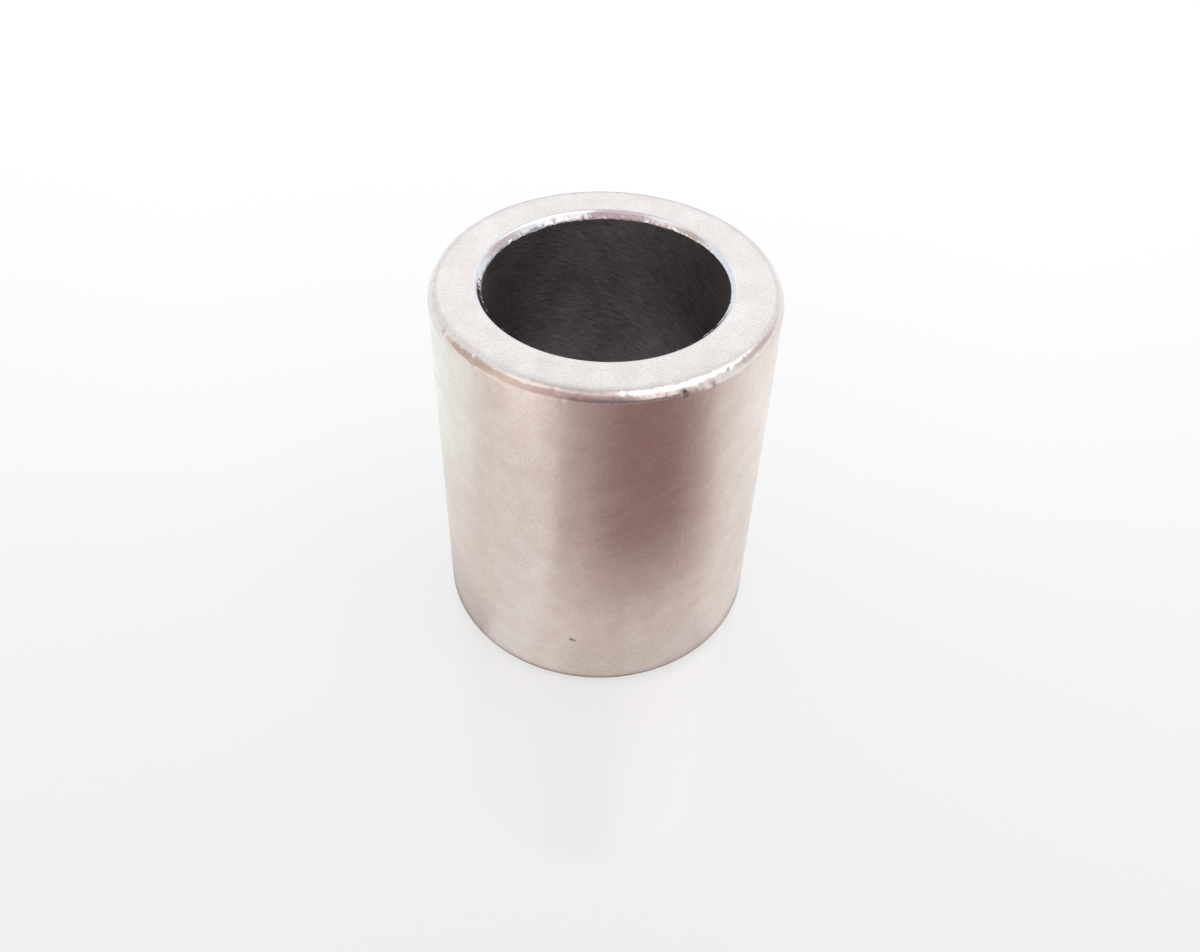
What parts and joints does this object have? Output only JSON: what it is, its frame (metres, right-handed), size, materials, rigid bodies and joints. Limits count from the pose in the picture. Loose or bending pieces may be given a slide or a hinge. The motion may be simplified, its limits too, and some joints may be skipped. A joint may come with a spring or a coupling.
{
  "type": "spacer sleeve",
  "caption": "Plain round spacer sleeve: a short thick-walled metal tube with square ends, a straight through bore with a small chamfer at each end, and rounded outside edges.",
  "frame": {"origin": "centre of the lower end face, on the bore's axis", "axes": "+Z along the bore's axis, up through the sleeve to its upper end face"},
  "size_m": [0.02, 0.02, 0.024],
  "materials": {
    "nickel_plated_steel": "satin, tumbled and nickel plated"
  },
  "bodies": {
    "root": {"spacer_sleeve": "nickel_plated_steel"}
  },
  "joints": []
}
